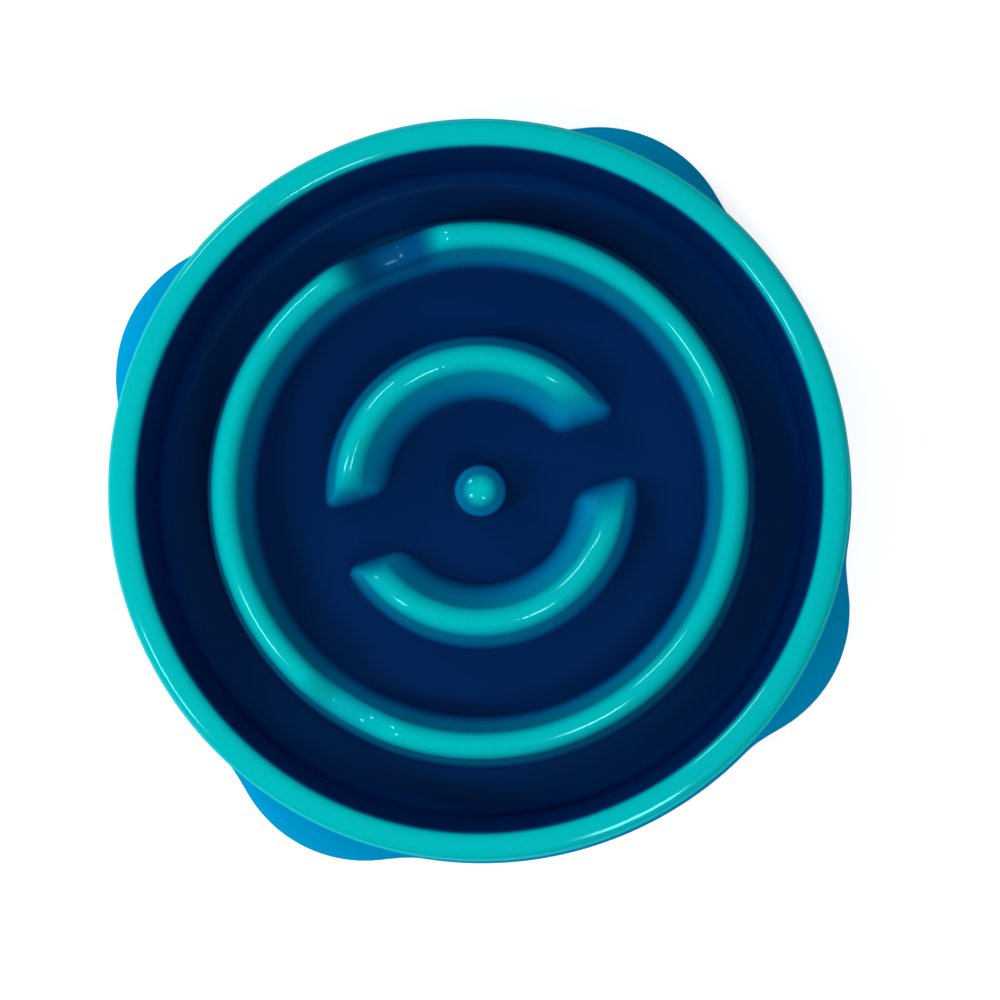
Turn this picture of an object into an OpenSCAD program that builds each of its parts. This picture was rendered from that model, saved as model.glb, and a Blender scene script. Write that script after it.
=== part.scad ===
// Slow feeder bowl: one hollow plastic moulding with ridges in it, on four rubber feet.
// Millimetres, +Z up. The origin is on the floor, below the middle of the bowl.

/* [Bowl] */
// Diameter over the outer edge of the rim
rim_d = 296; // [280:1:302]
// Height of the rim's crown above the floor the bowl stands on
bowl_h = 58; // [55:1:70]
// Height of the channels' floor above the floor the bowl stands on
floor_h = 10; // [8:0.5:12]
// Wall thickness of the moulding
wall = 3; // [2:0.1:3.4]
// Width of the rim's top, from the inner edge to the outer edge
rim_w = 11.8; // [10:0.2:14]
// How much higher the middle of the rim's top is than its edges
rim_crown = 0.8; // [0.4:0.1:1.6]
// Radius of the rim's outer edge
rim_outer_round = 3; // [1.5:0.25:4]
// Radius of the rim's inner edge
rim_inner_round = 1.5; // [0.75:0.25:2.5]
// Height of the rim's side, down to the lip's lower edge
lip_h = 8; // [5:0.5:12]
// How far the lip stands out from the skirt under it
lip_step = 1.2; // [0.8:0.1:2]
// How far the skirt's bottom edge stands out past the rim, between the lobes
skirt_out = 5.5; // [4:0.25:8]
// How far the inner wall leans in from the rim to the channels' floor
wall_lean = 3.6; // [2:0.2:6]
// Radius between the inner wall and the channels' floor
floor_round = 8; // [4:0.5:10]
// Radius at the foot of each ridge
root_round = 2.5; // [1:0.25:3.5]

/* [Ring ridge] */
// Diameter of the ring along its crest
ring_d = 206; // [200:1:212]
// Height of the ring above the channels' floor
ring_h = 34; // [30:1:38]
// Width of the ring where it meets the floor
ring_base_w = 21; // [19:0.5:24]
// Width of the ring's rounded crest
ring_top_w = 11; // [9:0.5:12]
// Angle of the deep saddle's middle, anticlockwise from +X
deep_at = 93; // [80:1:110]
// How far the crest drops in the deep saddle
deep_drop = 18; // [12:1:18]
// Radius of the deep saddle along the ring
deep_along_r = 23; // [19:1:26]
// Radius of the deep saddle's crest across the ring
deep_across_r = 13; // [12.5:0.25:13.5]
// Angle of the shallow saddle's middle, anticlockwise from +X
shallow_at = 221; // [205:1:240]
// How far the crest drops in the shallow saddle
shallow_drop = 8; // [5:0.5:10]
// Radius of the shallow saddle along the ring
shallow_along_r = 38; // [34:1:50]
// Radius of the shallow saddle's crest across the ring
shallow_across_r = 12; // [11:0.25:13]

/* [Arc ridges and post] */
// Diameter of the two arcs along their crests
arc_d = 106.6; // [104:0.2:108]
// Height of the arcs above the channels' floor
arc_h = 30; // [26:1:34]
// Distance from an arc's crest in to its inner foot on the floor
arc_inner_w = 15.5; // [12:0.5:17]
// Distance from an arc's crest out to its outer foot on the floor
arc_outer_w = 11.5; // [9:0.5:13]
// Width of an arc's rounded crest
arc_top_w = 12; // [10:0.5:14]
// Width of the straight gap between the arcs, at the floor
gap_w = 24; // [20:0.5:28]
// Lean of the arcs' ends from upright
gap_lean = 20; // [10:1:28]
// Radius of the shoulders where the arcs' ends meet their crests
gap_shoulder_r = 16; // [10:1:18]
// Diameter of the centre post where it meets the floor
post_base_d = 22; // [20:0.5:26]
// Diameter of the post's round top
post_top_d = 18; // [16:0.5:19]
// Height of the post above the channels' floor
post_h = 25; // [20:1:32]

/* [Lobes] */
// How far the tip of a lobe stands out past the rim
lobe_out = 16; // [12:0.5:20]
// Radius of a lobe's bottom edge, seen from above
lobe_r = 56.5; // [50:0.5:62]
// Angle of the first lobe from +X, the others follow at quarter turns
lobe_at = 45; // [40:1:50]
// How far a lobe's top stays inside the skirt, so that it fades out
lobe_fade = 0.4; // [0.2:0.1:1]

/* [Feet] */
// Distance from the tip of a lobe in to the middle of its foot
foot_inset = 16; // [14:0.5:18]
// Diameter of a rubber foot
foot_d = 18; // [14:0.5:19]
// Height of a rubber foot, from the floor up to its seat
foot_h = 3.5; // [3:0.25:5]
// How far the feet hold the skirt above the floor
foot_proud = 2; // [1:0.25:2.75]
// Radius of the foot's bottom edge
foot_round = 1; // [0.5:0.25:1.5]
// Diameter of the stem that holds a foot in its boss
stem_d = 6; // [4:0.5:7]
// Length of the stem
stem_h = 8; // [6:0.5:10]
// Bevel at the stem's tip
stem_bevel = 0.8; // [0.4:0.1:1]
// Clearance around the stem in its boss
stem_clearance = 0.1; // [0.05:0.05:0.3]
// Depth of the boss past the stem's tip
stem_end_gap = 1.5; // [1:0.5:3]
// Diameter of the seat that backs a foot
seat_d = 20; // [19:0.5:21]
// Diameter of the boss above the seat
boss_d = 12; // [10:0.5:14]
// Thickness of the rib that ties a boss to the walls
rib_w = 2.5; // [2:0.25:4]
// Height of the rib's top above the floor the bowl stands on
rib_top = 28; // [20:1:32]

/* [Hidden] */
$fn = 144;
overrun = 1;
arc_steps = 8;
band_steps = 10;
quarter = 90;
bowl_colour = "#04b0b8";
foot_colour = "#1d2a35";

rim_r = rim_d / 2;
rim_edge_z = bowl_h - rim_crown;
lip_z = rim_edge_z - lip_h;
rim_in_r = rim_r - rim_w;
skirt_z = foot_proud;
skirt_r = rim_r + skirt_out;
skirt_top_r = rim_r - lip_step;
skirt_slope = (skirt_r - skirt_top_r) / (lip_z - skirt_z);
skirt_side = wall * sqrt(1 + skirt_slope * skirt_slope);
under_rim_z = rim_edge_z - wall;
under_floor_z = floor_h - wall;
basin_r = rim_in_r - wall_lean;
basin_lean = atan(wall_lean / (rim_edge_z - floor_h));
basin_side = wall / cos(basin_lean);
floor_round_x = basin_r - floor_round * (1 - sin(basin_lean)) / cos(basin_lean);
crest_run = ring_d / 2;
arc_run = arc_d / 2;
lobe_reach = rim_r + lobe_out;
lobe_middle = lobe_reach - lobe_r;
lobe_top_r = skirt_top_r - lobe_fade - lobe_middle;
lobe_slope = (lobe_r - lobe_top_r) / (lip_z - skirt_z);
lobe_side = wall * sqrt(1 + lobe_slope * lobe_slope);
foot_reach = lobe_reach - foot_inset;

// Points along a round corner, from one angle to another
function corner(x, y, r, from, to) =
    [for (i = [0 : arc_steps])
        let (a = from + (to - from) * i / arc_steps)
        [x + r * cos(a), y + r * sin(a)]];

// Radius of the skirt's outside at a height
function skirt_at(z) = skirt_r - (z - skirt_z) * skirt_slope;

// Radius of the basin's wall, on its wet side, at a height
function basin_at(z) = basin_r + (z - floor_h) * tan(basin_lean);

// Lean of a ridge's flank from upright, where it runs from its foot onto the round crest
function flank_lean(h, reach, top_w) =
    let (y = h - top_w / 2)
    acos(top_w / 2 / sqrt(reach * reach + y * y)) - atan2(y, reach);

// The crowned top of the rim, from its outer edge to its inner edge
function rim_band() =
    let (
        outer = rim_r - rim_outer_round,
        inner = rim_in_r + rim_inner_round,
        middle = (outer + inner) / 2,
        half = (outer - inner) / 2
    )
    [for (i = [1 : band_steps - 1])
        let (x = outer - (outer - inner) * i / band_steps, share = (x - middle) / half)
        [x, rim_edge_z + rim_crown * (1 - share * share)]];

// Cross-section of the moulded wall: skirt, lip, rim, inner wall and floor
module wall_section() {
    polygon(concat(
        [[skirt_r, skirt_z]],
        [[skirt_top_r, lip_z]],
        [[rim_r, lip_z]],
        corner(rim_r - rim_outer_round, rim_edge_z - rim_outer_round, rim_outer_round, 0, quarter),
        rim_band(),
        corner(rim_in_r + rim_inner_round, rim_edge_z - rim_inner_round, rim_inner_round,
            quarter, 2 * quarter),
        corner(floor_round_x, floor_h + floor_round, floor_round, -basin_lean, -quarter),
        [[0, floor_h]],
        [[0, under_floor_z]],
        corner(floor_round_x, floor_h + floor_round, floor_round + wall, -quarter, -basin_lean),
        [[basin_at(under_rim_z) + basin_side, under_rim_z]],
        [[skirt_at(under_rim_z) - skirt_side, under_rim_z]],
        [[skirt_at(skirt_z) - skirt_side, skirt_z]]
    ));
}

// Everything inside the skirt's outside, less a margin, from under the skirt up to the lip
module skirt_core(margin) {
    low = skirt_z - overrun;
    high = lip_z + overrun;
    rotate_extrude()
        polygon([
            [0, low],
            [skirt_at(low) - margin, low],
            [skirt_at(high) - margin, high],
            [0, high]
        ]);
}

// Half of a ridge's cross-section, from its crest to the foot on the +X side.
// An inset of 0 is the outside, and one of a wall is the hollow.
module half_ridge(h, reach, top_w, inset) {
    lean = flank_lean(h, reach, top_w);
    tip_angle = quarter - (quarter - lean) / (2 * arc_steps);
    top_r = top_w / 2 - inset;
    top_y = h - top_w / 2;
    foot_x = reach - inset / cos(lean);
    bottom = inset > 0 ? -wall - overrun : -wall / 2;
    round_r = inset > 0 ? 0 : root_round;
    round_x = foot_x + round_r * (1 - sin(lean)) / cos(lean);
    skin = concat(
        [[0, bottom]],
        inset > 0
            ? [[foot_x - bottom * tan(lean), bottom]]
            : concat([[round_x, bottom]],
                corner(round_x, round_r, round_r, -quarter, -2 * quarter + lean)),
        corner(0, top_y, top_r, lean, tip_angle),
        [[0, top_y + top_r * sin(tip_angle)]]
    );
    polygon(skin);
}

module ridge(h, inner_w, outer_w, top_w, inset) {
    half_ridge(h, outer_w, top_w, inset);
    mirror([1, 0])
        half_ridge(h, inner_w, top_w, inset);
}

// What a saddle takes off the ring: a grooved wheel whose axle points at the middle of the bowl
module saddle_cut(at, drop, along_r, across_r, inset) {
    groove_r = across_r - inset;
    wheel_r = along_r + inset;
    rotate([0, 0, at])
        translate([crest_run, 0, ring_h - drop + along_r])
            rotate([0, quarter, 0])
                rotate_extrude()
                    difference() {
                        translate([0, -groove_r])
                            square([wheel_r + groove_r, 2 * groove_r]);
                        translate([wheel_r + groove_r, 0])
                            circle(groove_r);
                    }
}

module ring(inset) {
    difference() {
        rotate_extrude()
            translate([crest_run, 0])
                ridge(ring_h, ring_base_w / 2, ring_base_w / 2, ring_top_w, inset);
        saddle_cut(deep_at, deep_drop, deep_along_r, deep_across_r, inset);
        saddle_cut(shallow_at, shallow_drop, shallow_along_r, shallow_across_r, inset);
    }
}

// The straight gap between the arcs, with leaning ends and round shoulders
module gap_cut(inset) {
    tip_r = gap_shoulder_r - inset;
    tip_z = arc_h - gap_shoulder_r;
    floor_y = gap_w / 2 + inset / cos(gap_lean);
    tip_y = floor_y + (tip_z + tip_r * sin(gap_lean)) * tan(gap_lean) + tip_r * cos(gap_lean);
    low = -wall - 2 * overrun;
    shoulder = concat(
        [[floor_y + low * tan(gap_lean), low]],
        corner(tip_y, tip_z, tip_r, 2 * quarter - gap_lean, quarter),
        [[tip_y, arc_h + overrun]]
    );
    other_side = [for (i = [len(shoulder) - 1 : -1 : 0]) [-shoulder[i].x, shoulder[i].y]];
    rotate([quarter, 0, quarter])
        linear_extrude(arc_d + 4 * arc_outer_w, center = true)
            polygon(concat(shoulder, other_side));
}

module arcs(inset) {
    difference() {
        rotate_extrude()
            translate([arc_run, 0])
                ridge(arc_h, arc_inner_w, arc_outer_w, arc_top_w, inset);
        gap_cut(inset);
    }
}

module post(inset) {
    rotate_extrude()
        half_ridge(post_h, post_base_d / 2, post_top_d, inset);
}

module ridges(inset) {
    translate([0, 0, floor_h]) {
        ring(inset);
        arcs(inset);
        post(inset);
    }
}

module at_lobes() {
    for (turn = [0 : 3])
        rotate([0, 0, lobe_at + turn * quarter])
            children();
}

// The flared body of one lobe, pointing along +X
module lobe(inset_side) {
    low = inset_side > 0 ? skirt_z - overrun : skirt_z;
    translate([lobe_middle, 0, low])
        cylinder(
            h = lip_z - low,
            r1 = lobe_r - inset_side + (skirt_z - low) * lobe_slope,
            r2 = lobe_top_r - inset_side
        );
}

module lobe_shell() {
    difference() {
        lobe(0);
        lobe(lobe_side);
        skirt_core(skirt_side / 2);
    }
}

module lobe_hollow() {
    difference() {
        lobe(lobe_side);
        skirt_core(skirt_side + overrun);
    }
}

// The seat, boss and rib under one lobe that hold its foot
module foot_mounting() {
    rib_in = basin_at(rib_top) + wall / 2;
    difference() {
        intersection() {
            union() {
                translate([foot_reach, 0, foot_h])
                    cylinder(h = wall, d = seat_d);
                translate([foot_reach, 0, foot_h])
                    cylinder(h = rib_top - foot_h, d = boss_d);
                translate([rib_in, -rib_w / 2, foot_h + wall / 2])
                    cube([lobe_reach - rib_in, rib_w, rib_top - foot_h - wall / 2]);
            }
            lobe(lobe_side / 2);
        }
        translate([foot_reach, 0, foot_h - overrun])
            cylinder(h = overrun + stem_h + stem_end_gap, d = stem_d + 2 * stem_clearance);
    }
}

module bowl() {
    color(bowl_colour) {
        difference() {
            union() {
                rotate([0, 0, lobe_at])
                    rotate_extrude()
                        wall_section();
                ridges(0);
                at_lobes()
                    lobe_shell();
            }
            ridges(wall);
            at_lobes()
                lobe_hollow();
        }
        at_lobes()
            foot_mounting();
    }
}

// One rubber foot and its stem, under the lobe at an angle
module foot(at) {
    color(foot_colour)
        rotate([0, 0, at])
            translate([foot_reach, 0, 0])
                rotate_extrude()
                    polygon(concat(
                        [[0, 0]],
                        corner(foot_d / 2 - foot_round, foot_round, foot_round, -quarter, 0),
                        [[foot_d / 2, foot_h]],
                        [[stem_d / 2, foot_h]],
                        [[stem_d / 2, foot_h + stem_h - stem_bevel]],
                        [[stem_d / 2 - stem_bevel, foot_h + stem_h]],
                        [[0, foot_h + stem_h]]
                    ));
}

module foot_back_right() foot(lobe_at);
module foot_back_left() foot(lobe_at + quarter);
module foot_front_left() foot(lobe_at + 2 * quarter);
module foot_front_right() foot(lobe_at + 3 * quarter);

bowl();
foot_front_right();
foot_back_right();
foot_back_left();
foot_front_left();
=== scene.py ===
import math

import bmesh
import bpy
from mathutils import Matrix, Vector


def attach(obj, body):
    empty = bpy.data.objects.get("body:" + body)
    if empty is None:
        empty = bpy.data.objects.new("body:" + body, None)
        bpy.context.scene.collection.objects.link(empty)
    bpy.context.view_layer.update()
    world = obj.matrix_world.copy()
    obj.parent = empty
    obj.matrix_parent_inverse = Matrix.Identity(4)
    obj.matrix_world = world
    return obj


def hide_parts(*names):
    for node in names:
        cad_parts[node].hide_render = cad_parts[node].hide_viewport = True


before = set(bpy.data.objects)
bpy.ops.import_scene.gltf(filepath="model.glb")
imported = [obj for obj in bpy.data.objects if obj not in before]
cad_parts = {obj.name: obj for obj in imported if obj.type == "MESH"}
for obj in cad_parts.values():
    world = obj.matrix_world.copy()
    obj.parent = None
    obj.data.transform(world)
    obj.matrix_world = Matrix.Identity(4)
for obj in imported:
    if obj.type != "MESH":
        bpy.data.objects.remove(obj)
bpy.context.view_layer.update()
print("frame loaded")

mm = 0.001  # sizes in the dictionaries are millimetres, angles are degrees

meshing = {
    "pieceWeld": 0.002,  # corners closer than these become one
    "outlineWeld": 0.01,
    "seamWeld": 0.001,
    "sharpAngle": 40,  # edges that turn by more than this stay sharp
    "wedges": 8,  # a round piece is spun as one wedge, which is then set round the axis
}


def linear(hexCode):
    shares = [int(hexCode[i:i + 2], 16) / 255 for i in (1, 3, 5)]
    return [s / 12.92 if s <= 0.04045 else ((s + 0.055) / 1.055) ** 2.4 for s in shares] + [1]


def addNode(tree, kind, inputs=None, stops=None, **settings):
    node = tree.nodes.new(kind)
    for name, value in settings.items():
        setattr(node, name, value)
    for name, value in (inputs or {}).items():
        if isinstance(value, bpy.types.NodeSocket):
            tree.links.new(value, node.inputs[name])
        else:
            node.inputs[name].default_value = value
    for index, (position, hexCode) in enumerate(stops or []):
        marks = node.color_ramp.elements
        mark = marks[index] if index < len(marks) else marks.new(position)
        mark.position = position
        mark.color = linear(hexCode)
    return node


def newMaterial(name):
    material = bpy.data.materials.new(name)
    material.use_nodes = True
    material.node_tree.nodes.clear()
    return material, material.node_tree


# Glossy injection-moulded polypropylene, tinted through. The skin is smooth and bright on the crests,
# and its colour is painted deeper and bluer where the plastic lies low or stands steep: painted shade.
plasticLook = {
    "levels": [10, 20, 26, 36, 40],  # heights at which the painted shade changes
    "postLevels": [25, 31, 33, 34.5, 35],  # the post is lower, and its painted shade darkens as soon as its dome falls away
    "topPaintedShadeColours": ["#002256", "#00427e", "#007098", "#00b0bc", "#00bec2"],
    "sidePaintedShadeColours": ["#00306e", "#008ac4", "#009ecc", "#00a4c4", "#00acc0"],
    "wallPaintedShadeColours": ["#00225a", "#003676"],  # painted shade on the bowl's wall, at the floor and under the rim
    "wallStart": [122, 130],  # radii between which the wall's painted shade comes in
    "wallEnd": [138, 141],  # and goes out again
    "wallTop": 56.6,
    "steepFrom": 0.85,  # upward share of the normal at which the side colours come in
    "steepTo": 0.45,
    "mottle": 9,  # size of the faint mottle in the skin
    "mottleDetail": 3,
    "unevenGloss": [0.85, 1.15],  # how far the mottle changes the roughness
    "rippleStrength": 0.03,
    "rippleDepth": 0.3,
    "crestRoughness": 0.08,
    "floorRoughness": 0.36,  # the channels are dulled by use and washing
    "specular": 0.38,
    "floorSpecular": 0.06,
    "glint": "#94ffff",  # the highlights come out pale cyan over the tinted skin
    "ior": 1.45,
    "saddlePaintedShadeColour": "#005288",  # painted shade in the deep saddle of the ring
    "saddleReach": [6, 13],  # to either side of the saddle's middle
    "saddleBand": [5, 11],  # to either side of the ring's crest, where that painted shade fades out
}


def makePlastic(name, specular, levels):
    look = plasticLook
    material, tree = newMaterial(name)
    place = addNode(tree, "ShaderNodeTexCoord").outputs["Object"]
    axes = addNode(tree, "ShaderNodeSeparateXYZ", {0: place})

    # Painted shade by height, for level and for steep faces
    low, high = levels[0], levels[-1]
    height = addNode(tree, "ShaderNodeMapRange", {"Value": axes.outputs["Z"],
        "From Min": low * mm, "From Max": high * mm})
    shares = [(level - low) / (high - low) for level in levels]
    topPaintedShade = addNode(tree, "ShaderNodeValToRGB", {"Fac": height.outputs[0]},
        stops=list(zip(shares, look["topPaintedShadeColours"])))
    sidePaintedShade = addNode(tree, "ShaderNodeValToRGB", {"Fac": height.outputs[0]},
        stops=list(zip(shares, look["sidePaintedShadeColours"])))

    # The bowl's wall has painted shade of its own, between two radii
    flat = addNode(tree, "ShaderNodeVectorMath", {0: place, 1: (1, 1, 0)}, operation="MULTIPLY")
    radius = addNode(tree, "ShaderNodeVectorMath", {0: flat.outputs[0]}, operation="LENGTH")
    pastStart, beforeEnd = (addNode(tree, "ShaderNodeMapRange", {"Value": radius.outputs["Value"],
        "From Min": look[edge][0] * mm, "From Max": look[edge][1] * mm, "To Min": start,
        "To Max": 1 - start}) for edge, start in (("wallStart", 0), ("wallEnd", 1)))
    onWall = addNode(tree, "ShaderNodeMath", {0: pastStart.outputs[0], 1: beforeEnd.outputs[0]},
        operation="MULTIPLY")
    wallHeight = addNode(tree, "ShaderNodeMapRange", {"Value": axes.outputs["Z"],
        "From Min": low * mm, "From Max": look["wallTop"] * mm})
    wallPaintedShade = addNode(tree, "ShaderNodeValToRGB", {"Fac": wallHeight.outputs[0]},
        stops=list(zip((0, 1), look["wallPaintedShadeColours"])))
    deepSidePaintedShade = addNode(tree, "ShaderNodeMix", {0: onWall.outputs[0], 6: sidePaintedShade.outputs[0],
        7: wallPaintedShade.outputs[0]}, data_type="RGBA")

    facing = addNode(tree, "ShaderNodeSeparateXYZ",
        {0: addNode(tree, "ShaderNodeNewGeometry").outputs["Normal"]})
    steep = addNode(tree, "ShaderNodeMapRange", {"Value": facing.outputs["Z"],
        "From Min": look["steepFrom"], "From Max": look["steepTo"]}, interpolation_type="SMOOTHSTEP")
    # Mixes the painted shade of level and steep faces
    paintedLightAndGrainTint = addNode(tree, "ShaderNodeMix", {0: steep.outputs[0], 6: topPaintedShade.outputs[0],
        7: deepSidePaintedShade.outputs[2]}, data_type="RGBA")

    # Painted shade in the deep saddle, placed by its direction from the axis and its distance from the
    # ring's crest
    saddleAt = math.radians(bowl["deepAt"])
    aim = addNode(tree, "ShaderNodeVectorMath", {0: addNode(tree, "ShaderNodeVectorMath",
        {0: flat.outputs[0]}, operation="NORMALIZE").outputs[0],
        1: (math.cos(saddleAt), math.sin(saddleAt), 0)}, operation="DOT_PRODUCT")
    inside, outside = (math.cos(math.radians(a)) for a in look["saddleReach"])
    near = addNode(tree, "ShaderNodeMapRange", {"Value": aim.outputs["Value"],
        "From Min": outside, "From Max": inside}, interpolation_type="SMOOTHSTEP")
    aside = addNode(tree, "ShaderNodeMath", {0: addNode(tree, "ShaderNodeMath",
        {0: radius.outputs["Value"], 1: bowl["ringR"] * mm}, operation="SUBTRACT").outputs[0]},
        operation="ABSOLUTE")
    onRing = addNode(tree, "ShaderNodeMapRange", {"Value": aside.outputs[0],
        "From Min": look["saddleBand"][1] * mm, "From Max": look["saddleBand"][0] * mm},
        interpolation_type="SMOOTHSTEP")
    inSaddle = addNode(tree, "ShaderNodeMath", {0: near.outputs[0], 1: onRing.outputs[0]},
        operation="MULTIPLY")
    saddlePaintedShade = addNode(tree, "ShaderNodeMix", {0: inSaddle.outputs[0], 6: paintedLightAndGrainTint.outputs[2],
        7: linear(look["saddlePaintedShadeColour"])}, data_type="RGBA")

    # Gloss by height, a little uneven, and a faint ripple in the skin
    mottle = addNode(tree, "ShaderNodeTexNoise", {"Vector": place,
        "Scale": 1 / (look["mottle"] * mm), "Detail": look["mottleDetail"]})
    worn = addNode(tree, "ShaderNodeMapRange", {"Value": height.outputs[0],
        "To Min": look["floorRoughness"], "To Max": look["crestRoughness"]})
    uneven = addNode(tree, "ShaderNodeMapRange", {"Value": mottle.outputs[0],
        "To Min": look["unevenGloss"][0], "To Max": look["unevenGloss"][1]})
    gloss = addNode(tree, "ShaderNodeMath", {0: worn.outputs[0], 1: uneven.outputs[0]},
        operation="MULTIPLY")
    ripple = addNode(tree, "ShaderNodeBump", {"Height": mottle.outputs[0],
        "Strength": look["rippleStrength"], "Distance": look["rippleDepth"] * mm})
    shader = addNode(tree, "ShaderNodeBsdfPrincipled", {"Base Color": saddlePaintedShade.outputs[2],
        "Roughness": gloss.outputs[0], "Specular IOR Level": specular,
        "Specular Tint": linear(look["glint"]), "IOR": look["ior"], "Normal": ripple.outputs[0]})
    addNode(tree, "ShaderNodeOutputMaterial", {"Surface": shader.outputs[0]})
    return material


# The same polypropylene on the outside of the skirt, where a fine satin texture in the mould breaks up
# the reflections. It looks even and less shiny than the bowl's inside, and its colour is painted bluer
# as painted shade.
skirtLook = {
    "levels": [2, 49.2, 51.5, 56.2],
    "colours": ["#00b4f4", "#00a4e2", "#38f0ff", "#10dce8"],  # painted shade, palest round the rim's outer edge as a painted reflection
    "grain": 0.8,
    "grainDetail": 2,
    "grainStrength": 0.06,
    "grainDepth": 0.1,
    "roughness": 0.48,
    "specular": 0.0,
    "ior": 1.45,
}


def makeSkirtPlastic():
    look = skirtLook
    material, tree = newMaterial("satinMouldedPolypropylene")
    place = addNode(tree, "ShaderNodeTexCoord").outputs["Object"]
    axes = addNode(tree, "ShaderNodeSeparateXYZ", {0: place})
    low, high = look["levels"][0], look["levels"][-1]
    height = addNode(tree, "ShaderNodeMapRange", {"Value": axes.outputs["Z"],
        "From Min": low * mm, "From Max": high * mm})
    shares = [(level - low) / (high - low) for level in look["levels"]]
    # Painted shade up the skirt, with a painted reflection at the rim's outer edge
    paintedLightAndGrainTint = addNode(tree, "ShaderNodeValToRGB", {"Fac": height.outputs[0]},
        stops=list(zip(shares, look["colours"])))
    grain = addNode(tree, "ShaderNodeTexNoise", {"Vector": place,
        "Scale": 1 / (look["grain"] * mm), "Detail": look["grainDetail"]})
    bump = addNode(tree, "ShaderNodeBump", {"Height": grain.outputs[0],
        "Strength": look["grainStrength"], "Distance": look["grainDepth"] * mm})
    shader = addNode(tree, "ShaderNodeBsdfPrincipled", {"Base Color": paintedLightAndGrainTint.outputs[0],
        "Roughness": look["roughness"], "Specular IOR Level": look["specular"],
        "IOR": look["ior"], "Normal": bump.outputs[0]})
    addNode(tree, "ShaderNodeOutputMaterial", {"Surface": shader.outputs[0]})
    return material


# Compression-moulded rubber. It is matt and dark, with a fine grain from the mould.
rubberLook = {
    "colour": "#1d2a35",
    "worn": "#2a3844",
    "grain": 0.6,
    "grainDetail": 4,
    "grainStrength": 0.25,
    "grainDepth": 0.1,
    "roughness": 0.62,
    "ior": 1.52,
}


def makeRubber():
    look = rubberLook
    material, tree = newMaterial("satinMouldedRubber")
    place = addNode(tree, "ShaderNodeTexCoord").outputs["Object"]
    grain = addNode(tree, "ShaderNodeTexNoise", {"Vector": place,
        "Scale": 1 / (look["grain"] * mm), "Detail": look["grainDetail"]})
    paintedLightAndGrainTint = addNode(tree, "ShaderNodeMix", {0: grain.outputs[0], 6: linear(look["colour"]),
        7: linear(look["worn"])}, data_type="RGBA")
    bump = addNode(tree, "ShaderNodeBump", {"Height": grain.outputs[0],
        "Strength": look["grainStrength"], "Distance": look["grainDepth"] * mm})
    shader = addNode(tree, "ShaderNodeBsdfPrincipled", {"Base Color": paintedLightAndGrainTint.outputs[2],
        "Roughness": look["roughness"], "IOR": look["ior"], "Normal": bump.outputs[0]})
    addNode(tree, "ShaderNodeOutputMaterial", {"Surface": shader.outputs[0]})
    return material


def makePiece(name, bm, materials, nodes):
    bmesh.ops.remove_doubles(bm, verts=bm.verts, dist=meshing["pieceWeld"] * mm)
    bmesh.ops.recalc_face_normals(bm, faces=bm.faces)
    for face in bm.faces:
        face.smooth = True
    for edge in bm.edges:
        edge.smooth = edge.calc_face_angle(0) < math.radians(meshing["sharpAngle"])
    mesh = bpy.data.meshes.new(name)
    bm.to_mesh(mesh)
    bm.free()
    for material in materials:
        mesh.materials.append(material)
    piece = bpy.data.objects.new(name, mesh)
    bpy.context.scene.collection.objects.link(piece)
    weighted = piece.modifiers.new("weightedNormal", "WEIGHTED_NORMAL")
    weighted.keep_sharp = True
    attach(piece, "root")
    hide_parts(*nodes)
    return piece


# Puts one finished part of a piece into the whole, and frees it
def moveInto(whole, part):
    mesh = bpy.data.meshes.new("part")
    part.to_mesh(mesh)
    part.free()
    whole.from_mesh(mesh)
    bpy.data.meshes.remove(mesh)


# A wire in the XZ plane through corners given as (radius, height, rounding, segments)
def drawOutline(bm, corners):
    points = [bm.verts.new((r * mm, 0, z * mm)) for r, z, _, _ in corners]
    for ends in zip(points, points[1:]):
        bm.edges.new(ends)
    places = [point.co.copy() for point in points]
    for i in range(1, len(points) - 1):
        rounding, segments = corners[i][2:]
        if rounding > 0:
            turn = (places[i] - places[i - 1]).angle(places[i + 1] - places[i])
            bmesh.ops.bevel(bm, geom=[points[i]], offset=rounding * mm * math.tan(turn / 2),
                offset_type="OFFSET", segments=segments, profile=0.5, affect="VERTICES", material=-1)


# Spins the wire through one wedge and sets copies of the wedge round the axis
def spinOutline(bm, steps):
    wedges = meshing["wedges"]
    bmesh.ops.remove_doubles(bm, verts=bm.verts, dist=meshing["outlineWeld"] * mm)
    bmesh.ops.spin(bm, geom=bm.verts[:] + bm.edges[:], cent=(0, 0, 0), axis=(0, 0, 1),
        angle=math.tau / wedges, steps=steps // wedges)
    wedge = bpy.data.meshes.new("wedge")
    bm.to_mesh(wedge)
    for _ in range(wedges - 1):
        wedge.transform(Matrix.Rotation(math.tau / wedges, 4, "Z"))
        bm.from_mesh(wedge)
    bpy.data.meshes.remove(wedge)
    bmesh.ops.remove_doubles(bm, verts=bm.verts, dist=meshing["seamWeld"] * mm)


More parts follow.
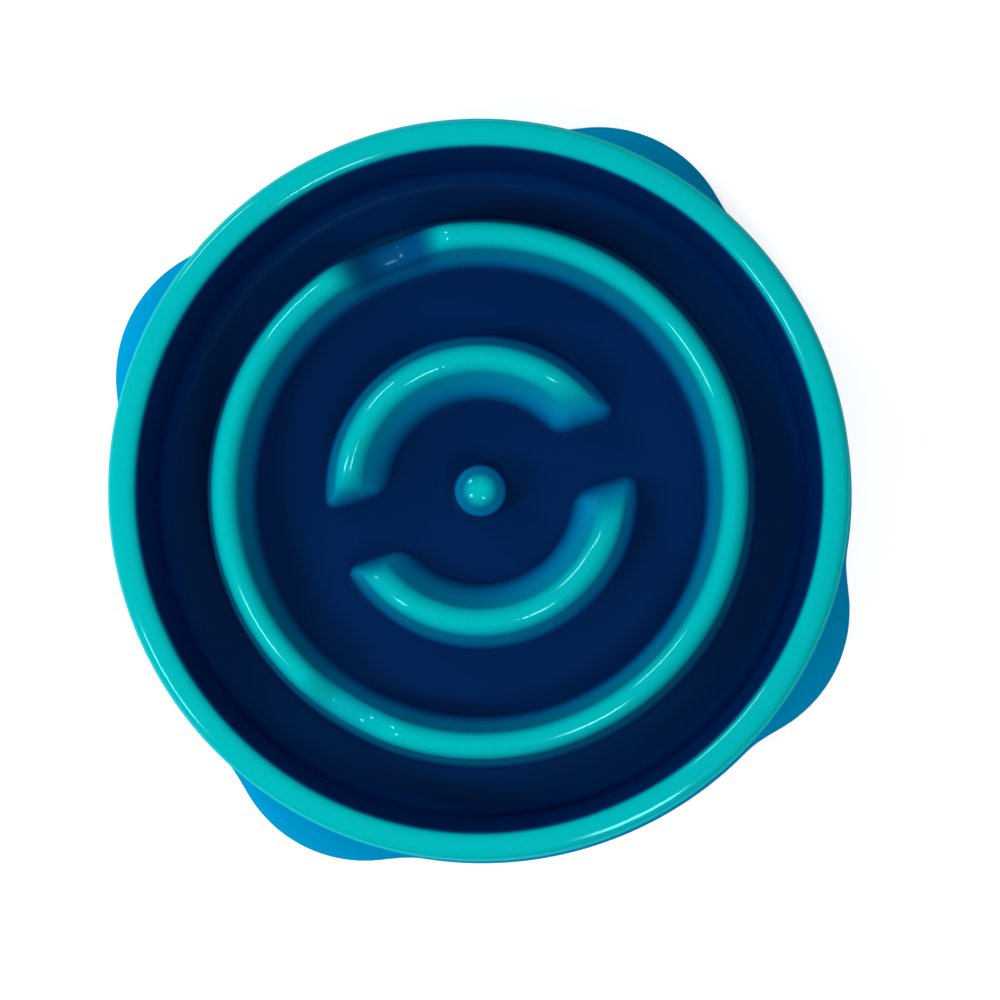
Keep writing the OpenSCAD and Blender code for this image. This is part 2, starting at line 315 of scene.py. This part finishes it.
# Radii are from the bowl's axis
bowl = {
    "bowlH": 58,
    "floorH": 10,  # the channels' floor, above the table
    "wall": 3,
    "spinSteps": 384,
    # Rim and lip
    "rimR": 148,
    "rimW": 11.8,
    "rimCrown": 0.8,
    "rimOuterRound": 4,
    "rimInnerRound": 4.2,
    "crownAt": 0.52,  # share of the rim's width
    "crownRound": 14,
    "lipH": 8,
    "lipStep": 1.2,
    # Wall and small roundings
    "wallLean": 3.6,
    "floorRound": 8,
    "rootRound": 1.5,  # where ridges and post meet the floor
    "edgeRound": 0.5,
    "underRound": 1.2,  # under the rim
    # Ring. Its height, the arcs' and the post's are above the channels' floor
    "ringR": 103,
    "ringH": 34,
    "ringReach": 10.5,  # from crest to foot
    "ringTopR": 5.5,
    # Deep saddle, a mound across the ring: its direction, flat and end are degrees
    "deepAt": 93,
    "deepDrop": 18,
    "deepFlat": 1.5,
    "deepEnd": 15,
    "moundReach": 11.5,
    "moundPower": 2.6,  # a higher power makes a flatter mound
    # Shallow saddle, in the same way
    "shallowAt": 221,
    "shallowDrop": 8,
    "shallowFlat": 3,
    "shallowEnd": 13,
    # Arcs, and the straight gap between them
    "arcR": 53.3,
    "arcH": 30,
    "arcInner": 15.5,  # from crest to foot, inwards and outwards
    "arcOuter": 11.5,
    "arcTopR": 6,
    "arcMargin": 3,  # beyond the feet, where shaping stops
    "gapW": 24,
    "gapLeanLeft": 7,  # lean of the arcs' ends from upright
    "gapLeanRight": 17,
    "endSharpness": 2.6,  # a lower power rounds the ends' top edge more
    "endCorner": 6.5,
    "sagFrom": 37,  # distance from the gap's middle line where the crests begin to sink
    "sagBlend": 2.5,
    "sagSlope": 0.2,
    "alignTo": 26,  # degrees from the gap where the mesh stops following it
    "alignFade": 20,
    # Post, with a shoulder and a brow under its domed top
    "postH": 25,
    "postBaseR": 11.4,
    "postTopR": 10.4,
    "postShoulder": 19.5,
    "postShoulderRound": 7,
    "postShoulderSlip": 0.4,
    "postBrowR": 5.5,
    "postBrowRound": 9,
    "postSlipAngle": 42,  # draws the hollow under the post inwards by the wall
    # Skirt and lobes
    "skirtOut": 5.5,
    "skirtZ": 2,
    "lobeOut": 16,
    "lobeR": 56.5,
    "lobeAt": 45,
    "lobeFade": 0.4,  # how far inside the skirt's top the lobes end
    "lobeBlend": 5,  # softens the line where a lobe leaves the skirt
    "lobeBlendRise": 14,  # the blend narrows over this height below the lip
    "lobeBlendLeast": 0.02,
    # Where the finish changes
    "outsideR": 142,  # beyond it lie the rim's outer face and the skirt
    "satinTop": 0.25,  # share of the rim's outer rounding above the satin finish
    "scuffZ": 19,  # inside the rim, the plastic below this is scuffed
    # Finer steps of the outline, at the radii of the arcs and on the skirt
    "fineFrom": 34,
    "fineTo": 69,
    "fineTop": 1.2,
    "fineUnder": 1.8,
    "fineSkirt": 0.8,
    "fineSkirtDrop": 2,  # they stop this far under the rim's edge
    "steepStretch": 6,  # a steep stretch may be this many times longer
    "seamSlack": 0.1,  # keeps the lobes clear of the lip's own corners
}
bowl["rimEdgeZ"] = bowl["bowlH"] - bowl["rimCrown"]
bowl["lipZ"] = bowl["rimEdgeZ"] - bowl["lipH"]
bowl["skirtR"] = bowl["rimR"] + bowl["skirtOut"]
bowl["skirtTopR"] = bowl["rimR"] - bowl["lipStep"]
bowl["lobeMiddle"] = bowl["rimR"] + bowl["lobeOut"] - bowl["lobeR"]


def flankLean(height, reach, topR):
    rise = height - topR
    return math.acos(topR / math.hypot(reach, rise)) - math.atan2(rise, reach)


# Foot and shoulder corners of one flank: side is 1 outwards and -1 inwards, inset is 0 or the wall
def flankCorners(middle, height, reach, topR, side, inset):
    half = math.radians(45) - flankLean(height, reach, topR) / 2
    foot = reach - inset * math.tan(half)
    shoulder = (topR - inset) * math.tan(half)
    base = bowl["floorH"] - inset
    return [
        (middle + side * foot, base, bowl["rootRound"] + inset, 4),
        (middle + side * shoulder, base + height, topR - inset, 8 if inset == 0 else 5),
    ]


def ridgeCorners(middle, height, outer, inner, topR, inset):
    return (flankCorners(middle, height, outer, topR, 1, inset)
        + flankCorners(middle, height, inner, topR, -1, inset)[::-1])


# Corners from the outer wall in to the axis, over both ridges and the post
def basinCorners(inset):
    b = bowl
    base = b["floorH"] - inset
    slip = inset * math.tan(math.radians(b["postSlipAngle"]))
    return (
        ridgeCorners(b["ringR"], b["ringH"], b["ringReach"], b["ringReach"], b["ringTopR"], inset)
        + ridgeCorners(b["arcR"], b["arcH"], b["arcOuter"], b["arcInner"], b["arcTopR"], inset)
        + [
            (b["postBaseR"] - slip, base, b["rootRound"] + inset, 4),
            (b["postTopR"] - slip, base + b["postShoulder"] + slip * b["postShoulderSlip"],
                b["postShoulderRound"] - inset, 6),
            (b["postBrowR"] - slip / 2, base + b["postH"], b["postBrowRound"] - inset, 6),
            (0, base + b["postH"], 0, 0),
        ]
    )


def smoothStep(low, high, value):
    share = min(1, max(0, (value - low) / (high - low)))
    return share * share * (3 - 2 * share)


def saddleShare(angle, name):
    off = abs((math.degrees(angle) - bowl[name + "At"] + 180) % 360 - 180)
    return 1 - smoothStep(bowl[name + "Flat"], bowl[name + "End"], off)


# Height of the ring where it sinks: squashed at the shallow saddle, a broad mound at the deep one
def ringHeight(height, radius, angle, inset):
    b = bowl
    full = b["ringH"] - inset
    height *= 1 - saddleShare(angle, "shallow") * b["shallowDrop"] / full
    off = abs(radius - b["ringR"]) / b["moundReach"]
    mound = (full - b["deepDrop"]) * max(0, 1 - off ** b["moundPower"])
    share = saddleShare(angle, "deep")
    return height * (1 - share) + min(height, mound) * share


# Height of the arcs' sloping ends above the floor, with rounded corners in plan
def endHeight(radius, along, across, inset):
    b = bowl
    lean = math.radians(b["gapLeanRight"] if along > 0 else b["gapLeanLeft"])
    toe = b["gapW"] / 2 + inset * math.tan(math.radians(45) - lean / 2)
    inside = min(radius - b["arcR"] + b["arcInner"], b["arcR"] + b["arcOuter"] - radius)
    corner = b["endCorner"]
    short = max(0, corner - max(0, inside - inset))
    toe += corner - math.sqrt(max(0, corner ** 2 - short ** 2))
    height = (across - toe) / math.tan(lean)
    blend = b["rootRound"]
    if abs(height) < blend:
        height = (height + blend) ** 2 / (4 * blend)
    return max(0, height)


# Height of the arcs where they end at the gap and where their crests sink towards it
def arcHeight(height, radius, along, across, inset):
    b = bowl
    end = endHeight(radius, along, across, inset)
    power = -b["endSharpness"]
    height = (height ** power + end ** power) ** (1 / power) if end > 0 else 0
    run = max(0, b["sagFrom"] - across)
    sag = b["sagSlope"] * (math.hypot(run, b["sagBlend"]) - b["sagBlend"])
    return height * (1 - sag / b["arcH"])


# Slides the spokes along their rings, so that near the arcs' ends they lie along the straight gap
def alignSpokes(verts):
    b = bowl
    inner = b["arcR"] - b["arcInner"] - b["arcMargin"]
    outer = b["arcR"] + b["arcOuter"] + b["arcMargin"]
    limit = math.radians(b["alignTo"])
    for vert in verts:
        radius = vert.co.xy.length / mm
        near = smoothStep(b["postBaseR"] + b["arcMargin"], inner, radius)
        near *= 1 - smoothStep(outer, outer + b["alignFade"], radius)
        if near <= 0:
            continue
        along, across = abs(vert.co.x), abs(vert.co.y)
        angle = math.atan2(across, along)
        still = min(angle, limit)
        held = max(inner, radius)
        slide = math.asin(b["arcR"] * math.sin(still) / held) - still
        slide *= near * (math.pi / 2 - angle) / (math.pi / 2 - still)
        vert.co.x = math.copysign(radius * mm * math.cos(angle + slide), vert.co.x)
        vert.co.y = math.copysign(radius * mm * math.sin(angle + slide), vert.co.y)


def axisDistance(vert):
    return math.hypot(vert.co.x, vert.co.y) / mm


# Lowers the ring at its saddles and ends the arcs at the straight gap
def shapeRidges(verts, inset):
    b = bowl
    base = b["floorH"] - inset
    arcFrom = b["arcR"] - b["arcInner"] - b["arcMargin"]
    arcTo = b["arcR"] + b["arcOuter"] + b["arcMargin"]
    alignSpokes(verts)
    for vert in verts:
        radius = axisDistance(vert)
        height = vert.co.z / mm - base
        if height <= meshing["seamWeld"]:
            continue
        if abs(radius - b["ringR"]) < b["ringReach"] + b["rootRound"]:
            height = ringHeight(height, radius, math.atan2(vert.co.y, vert.co.x), inset)
            vert.co.z = (base + height) * mm
        elif arcFrom < radius < arcTo:
            height = arcHeight(height, radius, vert.co.x, abs(vert.co.y) / mm, inset)
            vert.co.z = (base + height) * mm


# Pushes the skirt out into the four lobes, which are leaning cones
def shapeSkirt(verts, inset):
    b = bowl
    rise = b["lipZ"] - b["skirtZ"]
    topR = b["skirtTopR"] - b["lobeFade"] - b["lobeMiddle"]
    slope = (b["lobeR"] - topR) / rise
    thick = inset * math.sqrt(1 + slope * slope)
    for vert in verts:
        radius = axisDistance(vert)
        z = vert.co.z / mm
        angle = math.atan2(vert.co.y, vert.co.x)
        off = (angle - math.radians(b["lobeAt"]) + math.pi / 4) % (math.pi / 2) - math.pi / 4
        cone = b["lobeR"] - (z - b["skirtZ"]) * slope - thick
        under = cone ** 2 - (b["lobeMiddle"] * math.sin(off)) ** 2
        if cone <= 0 or under <= 0:
            continue
        lobe = b["lobeMiddle"] * math.cos(off) + math.sqrt(under)
        blend = b["lobeBlend"] * min(1, max(b["lobeBlendLeast"], (b["lipZ"] - z) / b["lobeBlendRise"]))
        near = max(0, blend - abs(lobe - radius)) / blend
        grown = max(lobe, radius) + near * near * blend / 4
        vert.co.x *= grown / radius
        vert.co.y *= grown / radius


# Cuts edges of the outline until none runs further sideways than the longest step
def refine(bm, edges, longest):
    for edge in edges:
        run = abs(edge.verts[0].co.x - edge.verts[1].co.x)
        run = max(run, edge.calc_length() / bowl["steepStretch"])
        cuts = math.ceil(run / (longest * mm)) - 1
        if cuts > 0:
            bmesh.ops.subdivide_edges(bm, edges=[edge], cuts=cuts)


# Draws, spins and shapes the bowl's upper or under side, and adds it to the whole
def spinSide(whole, corners, inset):
    b = bowl
    side = bmesh.new()
    drawOutline(side, corners)
    arcs = [e for e in side.edges if min(v.co.x for v in e.verts) > b["fineFrom"] * mm
        and max(v.co.x for v in e.verts) < b["fineTo"] * mm]
    refine(side, arcs, b["fineTop"] if inset == 0 else b["fineUnder"])
    skirts = [e for e in side.edges if min(v.co.x for v in e.verts) > b["outsideR"] * mm
        and max(v.co.z for v in e.verts) < (b["rimEdgeZ"] - b["fineSkirtDrop"]) * mm]
    refine(side, skirts, b["fineSkirt"])
    spinOutline(side, b["spinSteps"])
    shapeRidges(side.verts, inset)
    top = b["lipZ"] - b["seamSlack"] if inset == 0 else b["rimEdgeZ"] - inset + b["seamSlack"]
    skirt = [v for v in side.verts if axisDistance(v) > b["outsideR"] and v.co.z < top * mm]
    shapeSkirt(skirt, inset)
    moveInto(whole, side)


def makeBowl():
    b = bowl
    slope = (b["skirtR"] - b["skirtTopR"]) / (b["lipZ"] - b["skirtZ"])
    thick = b["wall"] * math.sqrt(1 + slope * slope)
    rimInR = b["rimR"] - b["rimW"]
    basinR = rimInR - b["wallLean"]
    underRim = b["rimEdgeZ"] - b["wall"]
    underFloor = b["floorH"] - b["wall"]
    small = b["edgeRound"]
    footMiddle = (b["skirtR"] - thick / 2, b["skirtZ"], 0, 0)
    top = [
        footMiddle,
        (b["skirtR"], b["skirtZ"], small, 3),
        (b["skirtTopR"], b["lipZ"], small, 3),
        (b["rimR"], b["lipZ"], small, 3),
        (b["rimR"], b["rimEdgeZ"], b["rimOuterRound"], 8),
        (b["rimR"] - b["rimW"] * b["crownAt"], b["bowlH"], b["crownRound"], 8),
        (rimInR, b["rimEdgeZ"], b["rimInnerRound"], 6),
        (basinR, b["floorH"], b["floorRound"], 8),
    ] + basinCorners(0)
    under = [
        footMiddle,
        (b["skirtR"] - thick, b["skirtZ"], small, 3),
        (b["skirtR"] - thick - (underRim - b["skirtZ"]) * slope, underRim, b["underRound"], 3),
        (rimInR + b["wall"], underRim, b["underRound"], 3),
        (basinR + b["wall"], underFloor, b["floorRound"] + b["wall"], 8),
    ] + basinCorners(b["wall"])
    bm = bmesh.new()
    spinSide(bm, top, 0)
    spinSide(bm, under, b["wall"])

    # The skirt is satin, the channels' floor scuffed, and the post has its own heights for the painted
    # shade
    satinZ = b["rimEdgeZ"] - b["rimOuterRound"] * b["satinTop"]
    for face in bm.faces:
        middle = face.calc_center_median() / mm
        radius = middle.xy.length
        if radius > b["outsideR"] and middle.z < satinZ:
            face.material_index = 1
        elif radius < rimInR and middle.z < b["scuffZ"]:
            face.material_index = 2
        elif radius < b["postBaseR"] + b["rootRound"]:
            face.material_index = 3
    return makePiece("bowlMoulding", bm, [plastic, skirtPlastic, scuffedPlastic, postPaintedShadePlastic],
        ["bowl"])


plastic = makePlastic("glossyMouldedPolypropylene", plasticLook["specular"], plasticLook["levels"])
# The post's copy differs only in the heights of its painted shade
postPaintedShadePlastic = makePlastic("glossyMouldedPolypropyleneWithPostPaintedShade", plasticLook["specular"],
    plasticLook["postLevels"])
# The channels' floor is the same plastic, dulled by use and washing, so it hardly mirrors anything.
scuffedPlastic = makePlastic("scuffedMouldedPolypropylene", plasticLook["floorSpecular"],
    plasticLook["levels"])
skirtPlastic = makeSkirtPlastic()
rubber = makeRubber()
print("materials made")
moulding = makeBowl()
print("bowl made:", len(moulding.data.polygons), "faces")


foot = {
    "inset": 16,  # from the lobe's edge to the foot's middle
    "spinSteps": 96,
    "smallRound": 0.3,
    # Seat, boss and rib in the bowl
    "seatR": 10,
    "seatT": 3,
    "seatZ": 3.5,
    "bossR": 6,
    "bossTop": 28,
    "bossRoot": 1.5,
    "boreR": 3.1,
    "boreH": 13,
    "round": 0.8,
    "ribW": 2.5,
    "ribIn": 135.5,
    "ribZ": 5,
    "ribFootOut": 13,  # the rib ends this far past the foot's middle, at its foot and at its top
    "ribTopOut": 4.7,
    # The rubber foot itself
    "footR": 9,
    "footH": 3.5,
    "footRound": 1,
    "stemR": 3,
    "stemTop": 11.5,
    "stemBevel": 0.8,
    "grooves": [3.4, 5.6, 7.2],  # radii of the grooves that run round under it
    "grooveW": 0.7,
    "grooveDepth": 0.6,
    "grooveEdge": 0.15,
    "grooveRoot": 0.2,
}
foot["reach"] = bowl["rimR"] + bowl["lobeOut"] - foot["inset"]


def turnTo(bm, quarterTurn):
    angle = math.radians(bowl["lobeAt"] + 90 * quarterTurn)
    bmesh.ops.rotate(bm, verts=bm.verts, cent=(0, 0, 0), matrix=Matrix.Rotation(angle, 3, "Z"))


# The seat, boss and rib under each lobe
def makeBosses():
    f = foot
    whole = bmesh.new()
    for quarterTurn in range(4):
        bm = bmesh.new()
        drawOutline(bm, [
            (0, f["boreH"], 0, 0),
            (f["boreR"], f["boreH"], 0, 0),
            (f["boreR"], f["seatZ"], f["smallRound"], 2),
            (f["seatR"], f["seatZ"], f["round"], 4),
            (f["seatR"], f["seatZ"] + f["seatT"], f["round"], 4),
            (f["bossR"], f["seatZ"] + f["seatT"], f["bossRoot"], 4),
            (f["bossR"], f["bossTop"], f["round"], 3),
            (0, f["bossTop"], 0, 0),
        ])
        spinOutline(bm, f["spinSteps"])
        bmesh.ops.translate(bm, verts=bm.verts, vec=(f["reach"] * mm, 0, 0))
        rib = [bm.verts.new((x * mm, -f["ribW"] / 2 * mm, z * mm)) for x, z in (
            (f["ribIn"], f["ribZ"]), (f["reach"] + f["ribFootOut"], f["ribZ"]),
            (f["reach"] + f["ribTopOut"], f["bossTop"]), (f["ribIn"], f["bossTop"]))]
        face = bm.faces.new(rib)
        block = bmesh.ops.extrude_face_region(bm, geom=[face])["geom"]
        bmesh.ops.translate(bm, verts=[v for v in block if isinstance(v, bmesh.types.BMVert)],
            vec=(0, f["ribW"] * mm, 0))
        turnTo(bm, quarterTurn)
        moveInto(whole, bm)
    return makePiece("bowlFootBosses", whole, [skirtPlastic], ["bowl"])


def makeFoot(node, quarterTurn):
    f = foot
    edge, root, depth = f["grooveEdge"], f["grooveRoot"], f["grooveDepth"]
    corners = [(0, 0, 0, 0)]
    for middle in f["grooves"]:
        near, far = middle - f["grooveW"] / 2, middle + f["grooveW"] / 2
        corners += [(near, 0, edge, 2), (near, depth, root, 2), (far, depth, root, 2), (far, 0, edge, 2)]
    corners += [
        (f["footR"], 0, f["footRound"], 6),
        (f["footR"], f["footH"], f["smallRound"], 2),
        (f["stemR"], f["footH"], f["smallRound"], 2),
        (f["stemR"], f["stemTop"], f["stemBevel"], 3),
        (0, f["stemTop"], 0, 0),
    ]
    bm = bmesh.new()
    drawOutline(bm, corners)
    spinOutline(bm, f["spinSteps"])
    bmesh.ops.translate(bm, verts=bm.verts, vec=(f["reach"] * mm, 0, 0))
    turnTo(bm, quarterTurn)
    return makePiece("rubber_" + node, bm, [rubber], [node])


makeBosses()
footNodes = ["foot_back_right", "foot_back_left", "foot_front_left", "foot_front_right"]
for quarterTurn, node in enumerate(footNodes):
    makeFoot(node, quarterTurn)
print("feet made")


studio = {
    "floorColour": "#d8d8d8",
    "floorRoughness": 0.9,
    "floorGlow": 0.68,  # on top of the light that falls on the floor, up to white
    "floorSize": 8,  # metres, as the lamps' sizes and distance are
    "world": 0.05,
    "turn": 18.25,  # how far the object is turned in the picture, anticlockwise
    "cameraHeight": 1190,
    "cameraLean": 1.9,
    "leanAzimuth": -61.6,
    "lens": 108,
    "sensor": 36,
    "clipStart": 50,
    "aimRight": 8.5,
    "aimUp": -4.6,
    "lampDistance": 1.6,
    # Name, azimuth in the picture, angle from straight up, width, height, watts, seen in reflections
    "lamps": [
        ("broadKey", 185, 44, 1.1, 1.1, 5.4, False),
        ("topFill", 330, 8, 1.4, 1.4, 8.0, False),
        ("softboxLeft", 208, 36, 0.28, 0.3, 6.3, True),
        ("softboxUpperLeft", 136, 54, 0.34, 0.28, 5.6, True),
        ("softboxLower", 295, 27, 0.21, 0.27, 4.4, True),
    ],
}


# A direction given by its azimuth in the picture and its angle from straight up
def skyward(azimuth, zenith):
    a = math.radians(azimuth - studio["turn"])
    z = math.radians(zenith)
    return Vector((math.sin(z) * math.cos(a), math.sin(z) * math.sin(a), math.cos(z)))


# Turns a lamp or camera to point opposite to back
def pointing(across, back):
    return Matrix((across, back.cross(across), back)).transposed().to_euler()


def placeLamp(name, azimuth, zenith, width, height, power, seen):
    light = bpy.data.lights.new(name, "AREA")
    light.shape = "RECTANGLE"
    light.size, light.size_y = width, height
    light.energy = power
    lamp = bpy.data.objects.new(name, light)
    bpy.context.scene.collection.objects.link(lamp)
    out = skyward(azimuth, zenith)
    lamp.location = out * studio["lampDistance"]
    lamp.rotation_euler = pointing(Vector((0, 0, 1)).cross(out).normalized(), out)
    lamp.visible_glossy = seen


# The floor's paint is plain and matt. It shows white to the camera and in reflections, and keeps
# the object's soft shadow.
def makeFloor():
    s = studio
    bm = bmesh.new()
    bmesh.ops.create_grid(bm, x_segments=1, y_segments=1, size=s["floorSize"] / 2)
    mesh = bpy.data.meshes.new("floor")
    bm.to_mesh(mesh)
    bm.free()
    material, tree = newMaterial("whiteStudioFloor")
    ray = addNode(tree, "ShaderNodeLightPath")
    seen = addNode(tree, "ShaderNodeMath", {0: ray.outputs["Is Camera Ray"],
        1: ray.outputs["Is Glossy Ray"]}, operation="ADD")
    seenOrThrough = addNode(tree, "ShaderNodeMath", {0: seen.outputs[0],
        1: ray.outputs["Is Transmission Ray"]}, operation="ADD")
    glow = addNode(tree, "ShaderNodeMath", {0: seenOrThrough.outputs[0], 1: s["floorGlow"]},
        operation="MULTIPLY")
    shader = addNode(tree, "ShaderNodeBsdfPrincipled", {"Base Color": linear(s["floorColour"]),
        "Roughness": s["floorRoughness"], "Specular IOR Level": 0,
        "Emission Color": (1, 1, 1, 1), "Emission Strength": glow.outputs[0]})
    addNode(tree, "ShaderNodeOutputMaterial", {"Surface": shader.outputs[0]})
    mesh.materials.append(material)
    floor = bpy.data.objects.new("studioFloor", mesh)
    bpy.context.scene.collection.objects.link(floor)


def makeSky():
    world = bpy.data.worlds.new("studioSky")
    world.use_nodes = True
    background = world.node_tree.nodes["Background"]
    background.inputs["Color"].default_value = (1, 1, 1, 1)
    background.inputs["Strength"].default_value = studio["world"]
    bpy.context.scene.world = world


def makeCamera():
    s = studio
    turn = math.radians(s["turn"])
    right = Vector((math.cos(turn), -math.sin(turn), 0))
    up = Vector((math.sin(turn), math.cos(turn), 0))
    target = (right * s["aimRight"] + up * s["aimUp"]) * mm + Vector((0, 0, bowl["bowlH"] * mm))
    back = skyward(s["leanAzimuth"], s["cameraLean"])
    data = bpy.data.cameras.new("camera")
    data.lens = s["lens"]
    data.sensor_width = s["sensor"]
    data.clip_start = s["clipStart"] * mm
    camera = bpy.data.objects.new("camera", data)
    bpy.context.scene.collection.objects.link(camera)
    camera.location = target + back * s["cameraHeight"] * mm
    camera.rotation_euler = pointing((right - back * right.dot(back)).normalized(), back)
    bpy.context.scene.camera = camera


makeFloor()
makeSky()
for lamp in studio["lamps"]:
    placeLamp(*lamp)
makeCamera()
bpy.context.scene.view_settings.view_transform = "Standard"
print("studio made")
